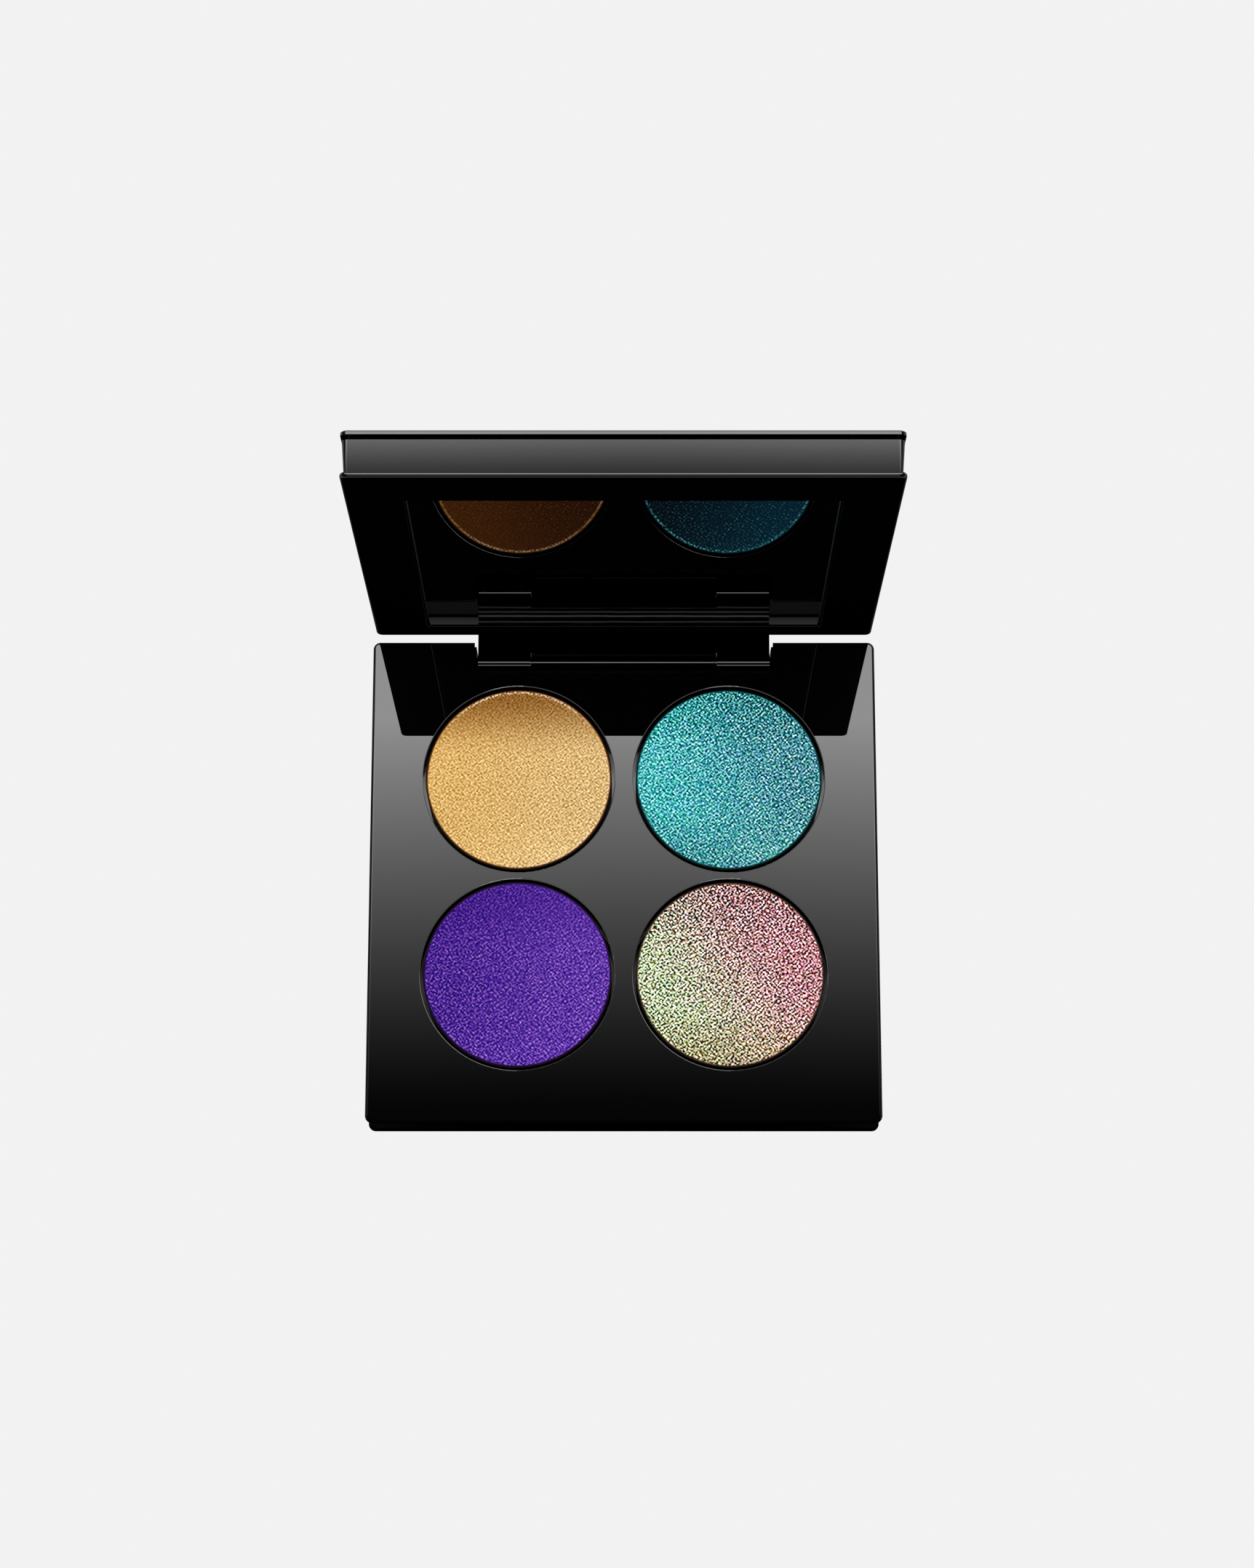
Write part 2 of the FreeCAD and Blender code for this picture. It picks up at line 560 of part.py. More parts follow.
def make_lid_frame():
    """Band and inner face of the lid, with the mirror seat, magnet pockets and the hinge lug."""
    body = new_body("lid_frame")
    band_low = "Sizes.rim_height"
    band_high = f"Sizes.lid_thickness - {PLATE_STACK}"
    band_loft(body, band_low, band_high, "Sizes.band_recess", "Sizes.band_foot")
    plate_pad(body, "rim", "0", "0", "Sizes.corner_radius", "Sizes.rim_height")
    rim = size("rim_height")
    round_edges(body, "rim_bead", lambda edge: on_outline(edge) and (
        lies_level(edge, 0.0) or lies_level(edge, rim)), "Sizes.bead_round")
    floor_top = f"({SEAT_DEPTH} + Sizes.seat_floor)"
    cavity = [f"0 - {CAVITY_X}", CAVITY_X, f"0 - {CAVITY_Y}", CAVITY_Y]
    box_cut(body, "cavity", band_high, cavity, f"{band_high} - {floor_top}")
    seat = new_sketch(body, "mirror_seat_outline")
    draw_rectangle(seat, "0 - Sizes.mirror_width / 2 - Sizes.mirror_play",
                   "Sizes.mirror_width / 2 + Sizes.mirror_play",
                   f"{MIRROR_NEAR} - Sizes.mirror_play", f"{MIRROR_FAR} + Sizes.mirror_play")
    extrude(body, "Pocket", "mirror_seat", seat, SEAT_DEPTH, down=True)
    half = size("mirror_width") / 2 + size("mirror_play")
    round_edges(body, "seat_edge", lambda edge: lies_level(edge, 0.0) and within(edge, half),
                "Sizes.seat_round")
    pockets = circles(body, "magnet_pockets", floor_top, MAGNETS, MAGNET_BORE)
    extrude(body, "Pocket", "magnet_pockets", pockets, f"{floor_top} - Sizes.magnet_skin")
    add_lug(body)
    stand_in_lid(body)
    return body


def add_lug(body):
    """Two outer knuckles and the web between them that passes over the centre knuckle."""
    width = "2 * Sizes.lug_half"
    near = f"{AXIS_Y} - Sizes.barrel_radius"
    far = f"{AXIS_Y} + Sizes.barrel_radius"
    root = "Sizes.rim_height / 2"
    web = [(near, LID_AXIS_Z), (far, LID_AXIS_Z), (far, root), (near, root)]
    across_width(body, "Pad", "web", lambda sketch: draw_polygon(sketch, web), width)
    across_width(body, "Pad", "knuckles", lambda sketch: draw_circle(
        sketch, AXIS_Y, LID_AXIS_Z, "Sizes.barrel_radius"), width)
    low = f"{LID_AXIS_Z} - Sizes.barrel_radius - 1"
    high = f"{LID_AXIS_Z} + Sizes.barrel_radius + Sizes.web_gap"
    space = [(f"{near} - 1", low), (f"{far} + 1", low), (f"{far} + 1", high), (f"{near} - 1", high)]
    across_width(body, "Pocket", "knuckle_space", lambda sketch: draw_polygon(sketch, space),
                 "2 * Sizes.centre_half")
    across_width(body, "Pocket", "pin_bore", lambda sketch: draw_circle(
        sketch, AXIS_Y, LID_AXIS_Z, "Sizes.pin_radius"), f"{width} + 1")


def make_mirror():
    body = new_body("mirror")
    sides = ["0 - Sizes.mirror_width / 2", "Sizes.mirror_width / 2", MIRROR_NEAR, MIRROR_FAR]
    box_pad(body, "glass", "Sizes.mirror_sink", sides, "Sizes.mirror_thick")
    front = size("mirror_sink")
    round_edges(body, "ground_edge", lambda edge: lies_level(edge, front), "Sizes.mirror_bevel",
                kind="Chamfer")
    stand_in_lid(body)
    return body


def make_mirror_adhesive():
    body = new_body("mirror_adhesive")
    half = "(Sizes.mirror_width / 2 - Sizes.sheet_inset)"
    sides = [f"0 - {half}", half,
             f"{MIRROR_NEAR} + Sizes.sheet_inset", f"{MIRROR_FAR} - Sizes.sheet_inset"]
    box_pad(body, "sheet", "Sizes.mirror_sink + Sizes.mirror_thick", sides, "Sizes.sheet_thick")
    stand_in_lid(body)
    return body


def make_hinge_pin():
    """Steel pin with bevelled ends, turned about its own axis and placed on the hinge axis."""
    body = new_body("hinge_pin")
    shoulder = "Sizes.pin_half - Sizes.pin_bevel"
    tip = "Sizes.pin_radius - Sizes.pin_bevel"
    revolve(body, "pin", "XY_Plane", "H_Axis", [
        ("0 - Sizes.pin_half", "0"), ("Sizes.pin_half", "0"), ("Sizes.pin_half", tip),
        (shoulder, "Sizes.pin_radius"), (f"0 - ({shoulder})", "Sizes.pin_radius"),
        ("0 - Sizes.pin_half", tip)])
    body.setExpression("Placement.Base.y", AXIS_Y)
    body.setExpression("Placement.Base.z", AXIS_Z)
    return body


# Assembly, checks and files

def make_all():
    magnet_top = "Sizes.base_height - Sizes.magnet_skin - Sizes.magnet_height"
    parts = [
        make_base_bottom(),
        make_base_frame(),
        make_base_deck(),
        make_hinge_block(),
        make_underside_label(),
        make_pan_adhesives(),
        make_magnets("base_magnets", magnet_top),
        make_lid_cover(),
        make_lid_frame(),
        make_mirror(),
        make_mirror_adhesive(),
        make_hinge_pin(),
    ]
    lid_magnets = make_magnets("lid_magnets", "Sizes.magnet_skin")
    stand_in_lid(lid_magnets)
    parts.append(lid_magnets)
    for name in WELLS:
        parts.append(make_pan(name))
        parts.append(make_powder(name))
    return parts


def check_all(parts):
    for item in doc.Objects:
        if "Invalid" in item.State or "Error" in item.State:
            raise RuntimeError(f"{item.Label} failed: {item.State}")
    for part in parts:
        if part.Shape.isNull() or not part.Shape.isValid():
            raise RuntimeError(f"{part.Label} has no valid shape")


def write_all(parts):
    os.makedirs("parts", exist_ok=True)
    for part in parts:
        part.Shape.exportStep(f"parts/{part.Label}.step")


fill_sheet()
palette = make_all()
doc.recompute()
check_all(palette)
write_all(palette)
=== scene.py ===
"""Looks of the eyeshadow palette: pressed powders as detailed meshes, and a finish for every part.

Lengths are in metres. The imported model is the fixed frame, and the parts' places come from it.
Across is X, along is Y, from the front to the lid at the rear, and up is Z.
"""
import json
import math

import bpy
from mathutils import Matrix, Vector, noise


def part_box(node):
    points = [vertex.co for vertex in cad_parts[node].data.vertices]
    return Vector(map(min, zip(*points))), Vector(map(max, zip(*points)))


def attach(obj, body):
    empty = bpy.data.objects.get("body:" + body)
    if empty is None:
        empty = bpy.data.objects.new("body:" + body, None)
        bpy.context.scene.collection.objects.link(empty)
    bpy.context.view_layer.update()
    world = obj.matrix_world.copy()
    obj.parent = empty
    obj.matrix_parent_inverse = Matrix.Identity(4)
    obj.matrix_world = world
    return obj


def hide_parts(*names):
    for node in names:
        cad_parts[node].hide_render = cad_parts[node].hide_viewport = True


MM = 0.001
WHITE = (1.0, 1.0, 1.0)
MIDDLE_GREY = (0.5, 0.5, 0.5)
MOULDED_BLACK = (0.0012, 0.0012, 0.0014)
FULL_GLOSS = 0.5            # specular level of an ordinary polished surface

# Camera, which looks down at the deck from the front
LENS = 79.55
CAMERA_PLACE = Vector((0.46, -107.96, 478.04)) * MM    # from the origin, raised to the deck's top
CAMERA_TILT = 14.28         # degrees away from straight down

# Soft light behind the lid. Slopes are back over up, or sideways over up.
LAMP_GAIN = 4.73            # radiance of its brightest part
LAMP_START = 0.150          # slope where it begins
LAMP_FULL = 0.274           # slope where it reaches full strength
LAMP_CURVE = 2.2            # how softly it begins
LAMP_FADE = (0.75, 1.3)     # slopes over which it ends again, towards the back
LAMP_SIDE = (0.45, 1.1)     # sideways slopes over which it ends, left and right
SIDE_GAIN = 1.09            # how much brighter it is a little to the left and right
SIDE_SLOPE = 0.075          # sideways slope where it has become that bright

# Surroundings
PALE = 0.888                # floor and backdrop as the camera sees them
HORIZON_GLOW = 0.27         # faint light all round, near the horizon and below it
FLOOR_SIZE = 3.0
FLOOR_GAP = 0.05 * MM       # floor below the base, so that the two faces stay apart
FLOOR_GLOW = 0.7            # floor in reflections, away from the compact
GLOW_RISE = (40 * MM, 240 * MM)    # distances from the middle over which that glow rises
REAR_GLOW = 0.04            # floor just behind the base, lit by the lamp
REAR_RISE = (33 * MM, 36 * MM)     # places along over which it rises
UNDER_GLOW = 0.45           # painted light on the floor under the base, which the underside sees, so that it isn't lost in black from below
UNDER_INSET = 0.8 * MM

# Strips that draw thin lines along the hinge
STRIP_HEIGHT = 0.52
WEB_LINES = ((-0.1285, 0.0003), (-0.1303, 0.0006), (-0.1316, 0.0003), (-0.1330, 0.0002))  # along, power

# Mouldings
LID_SHEEN = 0.0157          # change of slope across the lid's crowned band
SEAT_MARGIN = 0.6 * MM      # width of the mirror seat's edge
SEAT_DULLNESS = 0.7
WELL_HIGHLIGHT_REACH = 0.50 * MM     # painted highlight on the wells' rounded edges, out from the pans
WELL_HIGHLIGHT_DEPTH = 0.15 * MM
WELL_HIGHLIGHT_SPAN = (-25 * MM, 20 * MM)   # places along between which its tone changes
WELL_HIGHLIGHT_TONE = (0.045, 0.11)  # at the front, and at the rear, where less light arrives
DULL_FRONT = 0.5 * MM       # depth of the deck's dull front edge

# Powder meshes
RINGS = 84
SPOKES = 320
BARE_RIM = 0.1 * MM         # rim of each pan that stays free of powder
SHOULDER = 0.45 * MM        # width of the cake's soft edge
LIFT = 0.02 * MM            # least height of the powder above the pan's rim
DOME_DROP = 0.6             # share of the crown's height that is lost towards the edge

# Powder finish
POWDER_GAIN = 0.71          # reflectance for full screen brightness
SCREEN_GAMMA = 2.2
GRAIN = 0.27 * MM           # size of the finest pattern
SPREAD = 0.26 * MM          # about half the spacing of its lines
FLAKE = 0.24 * MM           # size of the flakes that differ in hue
CLUMP = 1.8 * MM            # size of the slow patches
SWING = 11.8                # strength of the maze of light and dark flakes
FLICKER = 2.2               # extra difference from flake to flake
CLUMPS = 0.4                # strength of the slow patches
TILT = 0.15                 # how far flakes lean away from the surface
LID_SHADE_SHARE = 0.9            # how much of the lid's painted shade at the rear shows at the very edge
FRONT_SHARE = 0.7           # how much of the front's tone shows at the very edge
# Painted highlight on the cake's shoulder:
RING_START = (0.65 * MM, 0.40 * MM)    # distances in from the edge where the shoulder's highlight begins
RING_END = (0.25 * MM, 0.10 * MM)      # and where it ends
FRINGE = (0.30 * MM, 0.10 * MM)    # distances in from the edge over which the rim's tone comes in
FRINGE_SHARE = 0.9
# Painted sheen in the darker look that a mirror shows of the powders:
MIRROR_RING = 0.45          # how much of the true tone a mirror still shows on the shoulder,
MIRROR_FLAKES = 0.04        # in the light flakes
MIRROR_REAR = 0.05          # and at the rear

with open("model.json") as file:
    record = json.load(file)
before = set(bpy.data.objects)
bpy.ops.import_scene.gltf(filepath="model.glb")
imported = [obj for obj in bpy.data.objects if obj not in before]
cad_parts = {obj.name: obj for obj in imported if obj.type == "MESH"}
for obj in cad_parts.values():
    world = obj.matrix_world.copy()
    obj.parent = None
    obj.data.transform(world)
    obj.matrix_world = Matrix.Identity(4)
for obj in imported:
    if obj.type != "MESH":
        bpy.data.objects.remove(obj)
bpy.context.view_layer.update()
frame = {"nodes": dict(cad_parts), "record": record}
scene = bpy.context.scene
scene.view_settings.view_transform = "Standard"


# Node trees

class Tree:
    """Short words for building one node tree."""

    def __init__(self, owner):
        owner.use_nodes = True
        self.tree = owner.node_tree
        self.tree.nodes.clear()

    def add(self, kind, **settings):
        node = self.tree.nodes.new(kind)
        for name, value in settings.items():
            setattr(node, name, value)
        return node

    def feed(self, socket, value):
        """Puts a number, a colour or another node's output into a socket."""
        if isinstance(value, bpy.types.NodeSocket):
            self.tree.links.new(value, socket)
        elif isinstance(value, (tuple, list)) and len(value) == 3 and socket.type == "RGBA":
            socket.default_value = (*value, 1.0)
        else:
            socket.default_value = value

    def math(self, operation, first, second=None, third=None, clamp=False):
        node = self.add("ShaderNodeMath", operation=operation, use_clamp=clamp)
        for socket, value in zip(node.inputs, (first, second, third)):
            if value is not None:
                self.feed(socket, value)
        return node.outputs[0]

    def product(self, first, *others):
        for other in others:
            first = self.math("MULTIPLY", first, other)
        return first

    def within(self, value, reach):
        """One where value lies within reach of zero on either side, and zero elsewhere."""
        return self.math("LESS_THAN", self.math("ABSOLUTE", value), reach)

    def vector(self, operation, first, second=None, scale=None):
        node = self.add("ShaderNodeVectorMath", operation=operation)
        self.feed(node.inputs[0], first)
        if second is not None:
            self.feed(node.inputs[1], second)
        if scale is not None:
            self.feed(node.inputs["Scale"], scale)
        single = operation in ("DOT_PRODUCT", "LENGTH")
        return node.outputs["Value" if single else "Vector"]

    def ease(self, value, low, high, start=0.0, stop=1.0):
        """Smooth step from start to stop while value goes from low to high."""
        node = self.add("ShaderNodeMapRange", interpolation_type="SMOOTHSTEP")
        for name, number in zip(("Value", "From Min", "From Max", "To Min", "To Max"),
                                (value, low, high, start, stop)):
            self.feed(node.inputs[name], number)
        return node.outputs["Result"]

    def blend(self, factor, first, second):
        """Mixes two colours, for which a Mix node has its seventh and eighth socket."""
        node = self.add("ShaderNodeMix", data_type="RGBA")
        self.feed(node.inputs[0], factor)
        self.feed(node.inputs[6], first)
        self.feed(node.inputs[7], second)
        return node.outputs[2]

    def split(self, vector):
        node = self.add("ShaderNodeSeparateXYZ")
        self.feed(node.inputs[0], vector)
        return node.outputs

    def join(self, across=0.0, along=0.0):
        node = self.add("ShaderNodeCombineXYZ")
        self.feed(node.inputs["X"], across)
        self.feed(node.inputs["Y"], along)
        return node.outputs[0]

    def place(self):
        return self.add("ShaderNodeTexCoord").outputs["Object"]

    def noise(self, vector, size, detail=2.0):
        node = self.add("ShaderNodeTexNoise")
        self.feed(node.inputs["Vector"], vector)
        self.feed(node.inputs["Scale"], 1.0 / size)
        self.feed(node.inputs["Detail"], detail)
        return node.outputs["Fac"]

    def cells(self, vector, size):
        node = self.add("ShaderNodeTexVoronoi")
        self.feed(node.inputs["Vector"], vector)
        self.feed(node.inputs["Scale"], 1.0 / size)
        return node.outputs

    def bump(self, height, distance):
        node = self.add("ShaderNodeBump")
        self.feed(node.inputs["Height"], height)
        self.feed(node.inputs["Distance"], distance)
        self.feed(node.inputs["Strength"], 1.0)
        return node.outputs["Normal"]

    def facing_pans(self):
        """One on an upright face that looks to the front, and zero on the faces square to it."""
        normal = self.add("ShaderNodeTexCoord").outputs["Normal"]
        return self.vector("DOT_PRODUCT", normal, (0.0, -1.0, 0.0))

    def mirrored_from_behind(self):
        """One where a mirror shows the surface from the rear, and zero where the eye sees it directly."""
        towards_eye = self.split(self.add("ShaderNodeNewGeometry").outputs["Incoming"])
        reflected = self.add("ShaderNodeLightPath").outputs["Is Glossy Ray"]
        return self.math("MULTIPLY", self.ease(towards_eye[1], 0.0, 0.15), reflected)

    def pale_to_camera(self, level):
        """The backdrop's tone for the camera, and the given level for every other ray."""
        node = self.add("ShaderNodeMix", data_type="FLOAT")
        self.feed(node.inputs[0], self.add("ShaderNodeLightPath").outputs["Is Camera Ray"])
        self.feed(node.inputs[2], level)
        self.feed(node.inputs[3], PALE)
        return node.outputs[0]


def new_material(name):
    material = bpy.data.materials.new(name)
    tree = Tree(material)
    surface = tree.add("ShaderNodeBsdfPrincipled")
    output = tree.add("ShaderNodeOutputMaterial")
    tree.feed(output.inputs["Surface"], surface.outputs[0])
    return material, tree, surface.inputs


# Finishes of the mouldings, the mirror and the small parts

def polish(tree, surface):
    """Piano-black moulding: almost mirror smooth, with a faint cloud of handling haze."""
    place = tree.place()
    haze = tree.noise(place, 9 * MM, detail=3.0)
    swell = tree.noise(place, 3.0 * MM, detail=1.0)
    tree.feed(surface["Base Color"], MOULDED_BLACK)
    tree.feed(surface["Roughness"], tree.math("MULTIPLY_ADD", haze, 0.012, 0.002))
    tree.feed(surface["IOR"], 1.6)
    return tree.bump(swell, 0.0002 * MM)


def dull(tree, surface, amount):
    """Takes the gloss away, wholly where amount is one."""
    tree.feed(surface["Specular IOR Level"], tree.math("MULTIPLY_ADD", amount, -FULL_GLOSS, FULL_GLOSS))


def gloss_black():
    material, tree, surface = new_material("gloss_black")
    tree.feed(surface["Normal"], polish(tree, surface))
    return material


def nearest_well(tree, across, along):
    """Distance from the axis of the nearest pan."""
    nearest = None
    for name in SHADES:
        low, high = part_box(f"pan_{name}")
        middle = (low + high) / 2
        offset = tree.join(tree.math("SUBTRACT", across, middle.x), tree.math("SUBTRACT", along, middle.y))
        distance = tree.vector("LENGTH", offset)
        nearest = distance if nearest is None else tree.math("MINIMUM", nearest, distance)
    return nearest


def deck_black():
    """Gloss black with a painted highlight, a grey ring on the rounded edge round each well, and a dull
    front edge.
    """
    material, tree, surface = new_material("gloss_black_deck")
    tree.feed(surface["Normal"], polish(tree, surface))
    across, along, up = tree.split(tree.place())
    pan_low, pan_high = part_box("pan_gold")
    deck_low, deck_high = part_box("base_deck")
    reach = (pan_high.x - pan_low.x) / 2 + WELL_HIGHLIGHT_REACH
    # Painted highlight: grey on each well's rounded edge, lighter towards the rear, where the lid shades
    # it, and left out where a mirror shows it.
    near = tree.math("LESS_THAN", nearest_well(tree, across, along), reach)
    high = tree.math("GREATER_THAN", up, deck_high.z - WELL_HIGHLIGHT_DEPTH)
    direct = tree.math("SUBTRACT", 1.0, tree.mirrored_from_behind())
    painted_highlight_grey = tree.ease(along, *WELL_HIGHLIGHT_SPAN, *WELL_HIGHLIGHT_TONE)
    tree.feed(surface["Base Color"], tree.blend(tree.product(near, high, direct), MOULDED_BLACK, painted_highlight_grey))
    dull(tree, surface, tree.math("LESS_THAN", along, deck_low.y + DULL_FRONT))
    return material


def knuckle_black():
    """Gloss black that stays dull in the mirror, which would double its bright line."""
    material, tree, surface = new_material("gloss_black_knuckle")
    tree.feed(surface["Normal"], polish(tree, surface))
    dull(tree, surface, tree.mirrored_from_behind())
    return material


def crown_band(tree, facing, along):
    """Lean of the normal that makes the lid's flat band look slightly crowned."""
    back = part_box("lid_frame")[1].y
    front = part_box("mirror")[0].y
    share = tree.math("DIVIDE", tree.math("SUBTRACT", back, along), back - front, clamp=True)
    slope = tree.math("MULTIPLY_ADD", share, -LID_SHEEN, 0.5 * LID_SHEEN)
    lean = tree.join(along=tree.math("MULTIPLY", tree.within(facing, 0.3), slope))
    turned = tree.add("ShaderNodeVectorTransform",
                      vector_type="VECTOR", convert_from="OBJECT", convert_to="WORLD")
    tree.feed(turned.inputs[0], lean)
    return turned.outputs[0]


def mirror_seat(tree, facing, across, up):
    """One on the edges of the mirror's seat, as far as they look to the front."""
    low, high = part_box("mirror")
    height = tree.math("SUBTRACT", up, (low.z + high.z) / 2)
    return tree.product(tree.within(height, (high.z - low.z) / 2 + SEAT_MARGIN),
                        tree.within(across, high.x + SEAT_MARGIN),
                        tree.math("GREATER_THAN", facing, 0.1))


def lid_black():
    """Gloss black with a crowned band, and a matt lining on the face that looks at the pans."""
    material, tree, surface = new_material("gloss_black_lid")
    across, along, up = tree.split(tree.place())
    facing = tree.facing_pans()
    normal = tree.vector("ADD", polish(tree, surface), crown_band(tree, facing, along))
    tree.feed(surface["Normal"], tree.vector("NORMALIZE", normal))
    lining = tree.math("GREATER_THAN", facing, 0.98)
    seat = tree.math("MULTIPLY", mirror_seat(tree, facing, across, up), SEAT_DULLNESS)
    dull(tree, surface, tree.math("MAXIMUM", lining, seat))
    return material


def mirror_glass():
    """Silvered glass, with a greenish ground edge."""
    material, tree, surface = new_material("mirror_glass")
    edge = tree.within(tree.facing_pans(), 0.98)
    smear = tree.noise(tree.place(), 14 * MM, detail=4.0)
    tree.feed(surface["Base Color"], tree.blend(edge, (0.50, 0.505, 0.51), (0.10, 0.14, 0.13)))
    tree.feed(surface["Metallic"], tree.math("SUBTRACT", 1.0, edge))
    rough = tree.math("MULTIPLY", smear, 0.004)
    tree.feed(surface["Roughness"], tree.math("MULTIPLY_ADD", edge, 0.25, rough))
    return material


def satin_metal(name, colour, roughness, stretch):
    """Plain metal with fine lines left by drawing or pressing, long where stretch is small."""
    material, tree, surface = new_material(name)
    lines = tree.noise(tree.vector("MULTIPLY", tree.place(), stretch), 0.12 * MM, detail=3.0)
    tree.feed(surface["Base Color"], colour)
    tree.feed(surface["Metallic"], 1.0)
    tree.feed(surface["Roughness"], tree.math("MULTIPLY_ADD", lines, 0.15, roughness))
    tree.feed(surface["Normal"], tree.bump(lines, 0.002 * MM))
    return material


def soft_tape():
    """Double-sided tape with fine pores."""
    material, tree, surface = new_material("soft_tape")
    pores = tree.cells(tree.place(), 0.18 * MM)["Distance"]
    tree.feed(surface["Base Color"], tree.blend(pores, (0.72, 0.70, 0.62), (0.50, 0.48, 0.42)))
    tree.feed(surface["Roughness"], 0.8)
    tree.feed(surface["Normal"], tree.bump(pores, 0.03 * MM))
    return material


def blank_label():
    """Dark paper without print."""
    material, tree, surface = new_material("blank_label")
    fibre = tree.noise(tree.place(), 0.4 * MM, detail=4.0)
    tree.feed(surface["Base Color"], tree.blend(fibre, (0.030, 0.030, 0.033), (0.055, 0.055, 0.060)))
    tree.feed(surface["Roughness"], tree.math("MULTIPLY_ADD", fibre, 0.2, 0.5))
    tree.feed(surface["Normal"], tree.bump(fibre, 0.01 * MM))
    return material


def dress(node, material):
    """Puts one finish on a carried-over part."""
    slots = frame["nodes"][node].data.materials
    slots.clear()
    slots.append(material)


def finish_nodes():
    """Gives every carried-over part its finish."""
    by_slot = {"gloss_black": gloss_black(), "mirror_glass": mirror_glass(),
               "adhesive": soft_tape(), "label": blank_label(),
               # Near-black pans, which keep the ring round each powder dark.
               "tin_pan": satin_metal("pan_near_black", (0.006, 0.006, 0.006), 0.32, (1.0, 1.0, 0.05)),
               "steel_pin": satin_metal("steel_pin", (0.50, 0.50, 0.51), 0.25, (0.05, 1.0, 1.0)),
               "magnet": satin_metal("nickel", (0.62, 0.60, 0.56), 0.18, (1.0, 1.0, 1.0))}
    for entry in frame["record"]["subparts"]:
        if entry["material_slot"] in by_slot:
            dress(entry["node"], by_slot[entry["material_slot"]])
    dress("lid_frame", lid_black())
    dress("hinge_block", knuckle_black())
    dress("base_deck", deck_black())


# Finish of the powders

def screen(colour):
    return tuple(value / 255 for value in colour)


class Shade:
    """One powder, in screen colours: its tone across the pan, the swing of its sparkle and its rim.

    Front and corner are the tones at the front left and right, and rear darkens each colour channel as
    painted shade of the lid.
    Low and high are added at a swing of one, edge is the shoulder's painted highlight and rim its outer
    fringe.
    The mirror colours at left and right are painted shade, the darker look from behind in a mirror. Lean
    turns the change of tone towards the rear right, fade and swell say how the sparkle changes to the rear
    and grows to the right, glint is the strength of the painted highlight, hue the difference between
    flakes, and relief the grain's height.
    """

    def __init__(self, left, right, rear, front, corner, low, high, edge, rim, painted_mirror_shade, painted_mirror_shade_right,
                 lean, fade, swell, glint, hue, relief):
        self.left = screen(left)
        self.right = screen(right)
        self.rear = rear
        self.front = screen(front)
        self.corner = screen(corner)
        self.low = screen(low)
        self.high = screen(high)
        self.edge = screen(edge)
        self.rim = screen(rim)
        self.painted_mirror_shade = screen(painted_mirror_shade)
        self.painted_mirror_shade_right = screen(painted_mirror_shade_right)
        self.lean = lean
        self.fade = fade
        self.swell = swell
        self.glint = glint
        self.hue = hue
        self.relief = relief * MM


# Per powder: rear is painted shade of the lid over the pan's rear, edge and glint a painted highlight on
# the shoulder, and the two mirror colours painted shade where a mirror shows the powder.
SHADES = {
    "gold": Shade(
        left=(221, 178, 107), right=(228, 190, 128), rear=(0.63, 0.50, 0.32),
        front=(234, 192, 124), corner=(246, 210, 146), low=(-14, -15, -16), high=(11, 12, 13),
        edge=(255, 238, 205), rim=(124, 62, 20), painted_mirror_shade=(74, 39, 9), painted_mirror_shade_right=(48, 23, 4),
        lean=0.0, fade=0.60, swell=1.12, glint=1.0, hue=0.03, relief=0.010),
    "teal": Shade(
        left=(70, 186, 188), right=(61, 140, 150), rear=(0.38, 0.88, 0.86),
        front=(50, 128, 140), corner=(106, 194, 184), low=(-29, -33, -32), high=(34, 29, 29),
        edge=(120, 225, 225), rim=(10, 84, 92), painted_mirror_shade=(0, 18, 27), painted_mirror_shade_right=(0, 44, 58),
        lean=0.25, fade=1.20, swell=1.10, glint=0.25, hue=0.16, relief=0.016),
    "purple": Shade(
        left=(71, 33, 144), right=(93, 52, 165), rear=(0.84, 0.73, 0.91),
        front=(88, 48, 164), corner=(92, 52, 168), low=(-14, -13, -15), high=(21, 20, 17),
        edge=(130, 90, 200), rim=(62, 22, 96), painted_mirror_shade=(30, 9, 66), painted_mirror_shade_right=(30, 9, 66),
        lean=0.1, fade=0.60, swell=1.0, glint=0.15, hue=0.05, relief=0.010),
    "duochrome": Shade(
        left=(193, 213, 172), right=(200, 136, 145), rear=(0.84, 0.76, 0.75),
        front=(164, 142, 100), corner=(215, 190, 156), low=(-52, -82, -94), high=(22, 31, 32),
        edge=(235, 225, 200), rim=(104, 74, 58), painted_mirror_shade=(62, 48, 36), painted_mirror_shade_right=(62, 40, 36),
        lean=0.6, fade=1.35, swell=1.22, glint=0.2, hue=0.16, relief=0.016),
}


class Spot:
    """Node outputs that say where on its pan a point of the powder lies."""

    def __init__(self, tree, shade, radius):
        self.place = tree.place()
        self.across, self.along, _ = tree.split(self.place)
        slanted = tree.math("MULTIPLY_ADD", self.along, shade.lean, self.across)
        self.to_right = tree.ease(slanted, -0.9 * radius, 0.9 * radius)
        self.to_rear = tree.ease(self.along, 0.25 * radius, radius)
        self.to_front = tree.ease(self.along, -0.3 * radius, -radius)
        from_axis = tree.vector("LENGTH", tree.vector("MULTIPLY", self.place, (1.0, 1.0, 0.0)))
        self.from_edge = tree.math("SUBTRACT", radius, from_axis)


